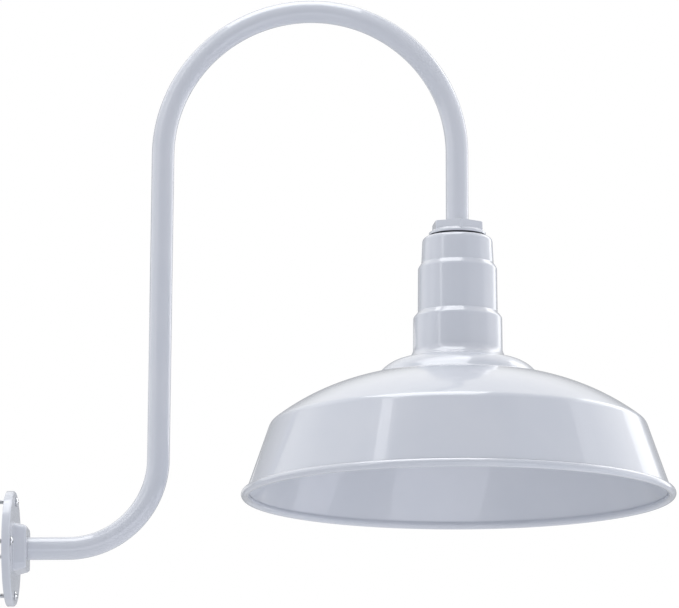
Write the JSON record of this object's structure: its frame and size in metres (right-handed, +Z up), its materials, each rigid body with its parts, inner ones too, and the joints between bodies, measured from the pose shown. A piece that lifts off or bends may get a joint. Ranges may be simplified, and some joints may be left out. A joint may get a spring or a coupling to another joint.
{
  "type": "barn light",
  "caption": "Gloss white barn light: a wide spun shade with a stepped neck hangs from a bent pipe arm on a round wall flange.",
  "frame": {"origin": "centre of the wall flange's back face, on the wall's plane", "axes": "+X out from the wall, +Z up, +Y to the right of someone who faces the wall; the arm bends in the X-Z plane"},
  "size_m": [0.6427, 0.4064, 0.5788],
  "materials": {
    "white_enamel": "gloss white powder coat",
    "screw_chrome": "polished",
    "plain_steel": "zinc plated, satin",
    "black_rubber": "matt",
    "ceramic": "glazed, off-white",
    "brass": "satin",
    "green_screw": "green plated",
    "black_wire": "satin insulation",
    "white_wire": "satin insulation",
    "green_wire": "satin insulation",
    "lamp_metal": "satin",
    "lamp_black": "glazed, black",
    "lamp_plastic": "satin white",
    "board": "white lacquer",
    "frosted_globe": "frosted white"
  },
  "bodies": {
    "fixture": {"wall_flange": "white_enamel", "flange_gasket": "black_rubber", "flange_screws": "screw_chrome", "arm_set_screw": "plain_steel", "gooseneck_arm": "white_enamel", "hex_hub": "white_enamel", "hub_washer": "white_enamel", "hub_gasket": "black_rubber", "shade": "white_enamel", "inner_washer": "plain_steel", "hub_locknut": "plain_steel", "socket_bracket": "plain_steel", "bracket_screws": "plain_steel", "ground_screw": "green_screw", "socket_body": "ceramic", "screw_shell": "brass", "centre_contact": "brass", "terminal_screws": "brass", "wire_black": "black_wire", "wire_white": "white_wire", "wire_green": "green_wire"},
    "lamp": {"lamp_base": "lamp_metal", "lamp_insulator": "lamp_black", "lamp_contact": "brass", "lamp_housing": "lamp_plastic", "led_board": "board", "lamp_globe": "frosted_globe"}
  },
  "joints": [
    {"name": "lamp_removal", "type": "slide", "parent": "fixture", "child": "lamp", "axis": [0, 0, -1], "range_m": [0, 0.21]}
  ]
}
